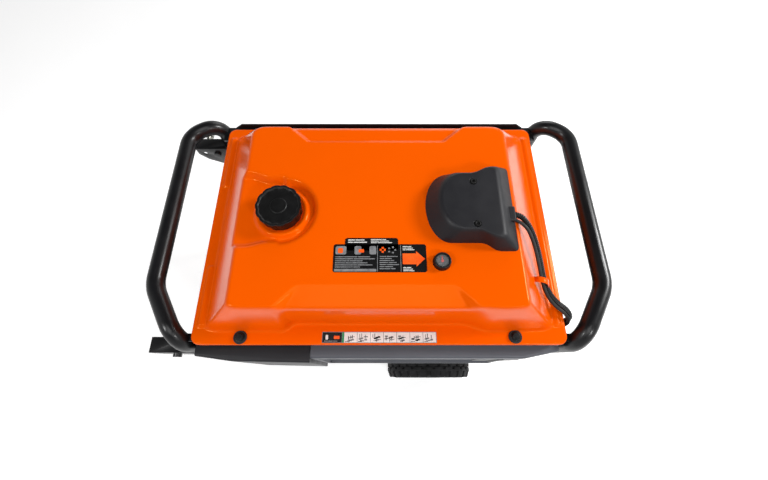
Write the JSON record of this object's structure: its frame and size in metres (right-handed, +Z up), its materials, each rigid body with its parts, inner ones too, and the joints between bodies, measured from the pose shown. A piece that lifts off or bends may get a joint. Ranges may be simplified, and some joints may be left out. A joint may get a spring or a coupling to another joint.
{
  "type": "portable generator",
  "caption": "Open-frame portable generator on wheels and feet, with a fuel tank on top, a control panel at the front and a folding handle.",
  "frame": {"origin": "on the ground, in the middle of the footprint", "axes": "+Z is up, +X runs along the engine shaft from the handle end to the starter end, -Y faces the user at the control panel"},
  "size_m": [0.77, 0.512, 0.683],
  "materials": {
    "black_steel": "gloss",
    "mount_rubber": "matte",
    "zinc_steel": "satin",
    "tyre_rubber": "matte",
    "rim_plastic": "satin",
    "grip_rubber": "matte",
    "tank_enamel": "gloss",
    "black_plastic": "satin",
    "needle_plastic": "satin",
    "float_plastic": "matte",
    "pump_plastic": "matte",
    "loom_plastic": "matte",
    "hose_rubber": "matte",
    "panel_plastic": "satin",
    "cover_plastic": "satin",
    "box_steel": "satin",
    "outlet_plastic": "satin",
    "lid_plastic": "satin",
    "dial_plastic": "satin",
    "cast_aluminium": "cast",
    "machined_steel": "machined",
    "flywheel_iron": "cast",
    "shroud_steel": "satin",
    "muffler_steel": "matte",
    "starter_steel": "satin",
    "oil_cap_plastic": "satin",
    "battery_plastic": "satin"
  },
  "bodies": {
    "frame": {"base_frame": "black_steel", "left_hoop": "black_steel", "right_hoop": "black_steel", "isolators": "mount_rubber", "front_tank_support": "black_steel", "rear_tank_support": "black_steel", "handle_brackets": "black_steel", "support_legs": "black_steel", "rubber_feet": "mount_rubber", "axle": "zinc_steel", "tank_upper_shell": "tank_enamel", "tank_lower_shell": "tank_enamel", "tank_bolts": "black_steel", "filler_neck": "tank_enamel", "gauge_housing": "black_plastic", "pump_cover": "black_plastic", "pump_cover_screws": "black_steel", "pump_module": "pump_plastic", "wiring_loom": "loom_plastic", "fuel_hose": "hose_rubber", "control_panel": "panel_plastic", "side_cover": "cover_plastic", "panel_back_box": "box_steel", "duplex_outlets": "outlet_plastic", "twist_lock_outlet": "outlet_plastic", "crankcase": "cast_aluminium", "cylinder": "cast_aluminium", "piston": "cast_aluminium", "valve_cover": "cast_aluminium", "stator": "cast_aluminium", "alternator_cover": "cast_aluminium", "fan_shroud": "shroud_steel", "recoil_cover": "shroud_steel", "air_cleaner": "black_plastic", "muffler": "muffler_steel", "muffler_guard": "box_steel", "starter_motor": "starter_steel", "oil_cap": "oil_cap_plastic", "battery": "battery_plastic"},
    "front_wheel": {"tyre_front": "tyre_rubber", "rim_front": "rim_plastic"},
    "rear_wheel": {"tyre_rear": "tyre_rubber", "rim_rear": "rim_plastic"},
    "handle": {"handle_tube": "black_steel", "handle_grip": "grip_rubber"},
    "handle_lock": {"lock_pin": "zinc_steel"},
    "cap_plug": {"cap_core": "black_plastic"},
    "cap_grip": {"fuel_cap": "black_plastic"},
    "fuel_float": {"float_arm": "float_plastic"},
    "gauge_pointer": {"gauge_needle": "needle_plastic"},
    "left_outlet_lid": {"duplex_lid_left": "lid_plastic"},
    "right_outlet_lid": {"duplex_lid_right": "lid_plastic"},
    "locking_outlet_lid": {"twist_lock_lid": "lid_plastic"},
    "left_breaker": {"breaker_button_left": "outlet_plastic"},
    "right_breaker": {"breaker_button_right": "outlet_plastic"},
    "engine_switch": {"power_dial": "dial_plastic"},
    "engine_shaft": {"crankshaft": "machined_steel", "flywheel": "flywheel_iron", "rotor": "machined_steel"},
    "pull_grip": {"recoil_grip": "grip_rubber"}
  },
  "joints": [
    {"name": "front_wheel_spin", "type": "hinge", "parent": "frame", "child": "front_wheel", "pos_m": [0.135, -0.23, 0.111], "axis": [0, 1, 0], "continuous": true},
    {"name": "rear_wheel_spin", "type": "hinge", "parent": "frame", "child": "rear_wheel", "pos_m": [0.135, 0.23, 0.111], "axis": [0, 1, 0], "continuous": true},
    {"name": "handle_fold", "type": "hinge", "parent": "frame", "child": "handle", "pos_m": [-0.343, 0, 0.515], "axis": [0, 1, 0], "range_deg": [0, 90]},
    {"name": "handle_lock_slide", "type": "slide", "parent": "frame", "child": "handle_lock", "axis": [0, -1, 0], "range_m": [0, 0.016]},
    {"name": "cap_lift", "type": "slide", "parent": "frame", "child": "cap_plug", "axis": [0, 0, 1], "range_m": [0, 0.05]},
    {"name": "cap_turn", "type": "hinge", "parent": "cap_plug", "child": "cap_grip", "pos_m": [-0.1516, -0.0133, 0.66], "axis": [0, 0, 1], "continuous": true},
    {"name": "float_swing", "type": "hinge", "parent": "frame", "child": "fuel_float", "pos_m": [0.0914, -0.0977, 0.6], "axis": [0, 1, 0], "range_deg": [-35, 25]},
    {"name": "pointer_turn", "type": "hinge", "parent": "frame", "child": "gauge_pointer", "pos_m": [0.0914, -0.0977, 0.6594], "axis": [0, 0, 1], "range_deg": [-72, 52]},
    {"name": "left_outlet_lid_open", "type": "hinge", "parent": "frame", "child": "left_outlet_lid", "pos_m": [-0.064, -0.209, 0.478], "axis": [1, 0, 0], "range_deg": [-110, 0], "stiffness_Nm_per_rad": 0.02, "springref_deg": 17.19},
    {"name": "right_outlet_lid_open", "type": "hinge", "parent": "frame", "child": "right_outlet_lid", "pos_m": [0.012, -0.209, 0.478], "axis": [1, 0, 0], "range_deg": [-110, 0], "stiffness_Nm_per_rad": 0.02, "springref_deg": 17.19},
    {"name": "locking_outlet_lid_open", "type": "hinge", "parent": "frame", "child": "locking_outlet_lid", "pos_m": [0.096, -0.209, 0.465], "axis": [1, 0, 0], "range_deg": [-110, 0], "stiffness_Nm_per_rad": 0.02, "springref_deg": 17.19},
    {"name": "left_breaker_push", "type": "slide", "parent": "frame", "child": "left_breaker", "axis": [0, 1, 0], "range_m": [0, 0.004], "stiffness_N_per_m": 400},
    {"name": "right_breaker_push", "type": "slide", "parent": "frame", "child": "right_breaker", "axis": [0, 1, 0], "range_m": [0, 0.004], "stiffness_N_per_m": 400},
    {"name": "engine_switch_turn", "type": "hinge", "parent": "frame", "child": "engine_switch", "pos_m": [0.222, 0, 0.432], "axis": [0, 1, 0], "range_deg": [0, 120]},
    {"name": "engine_shaft_spin", "type": "hinge", "parent": "frame", "child": "engine_shaft", "pos_m": [0, -0.015, 0.306], "axis": [1, 0, 0], "continuous": true},
    {"name": "pull_grip_pull", "type": "slide", "parent": "frame", "child": "pull_grip", "axis": [0, -1, 0], "range_m": [0, 0.6], "stiffness_N_per_m": 20}
  ],
  "couplings": [
    {"joint": "pointer_turn", "follows": "float_swing", "ratio": 2}
  ]
}
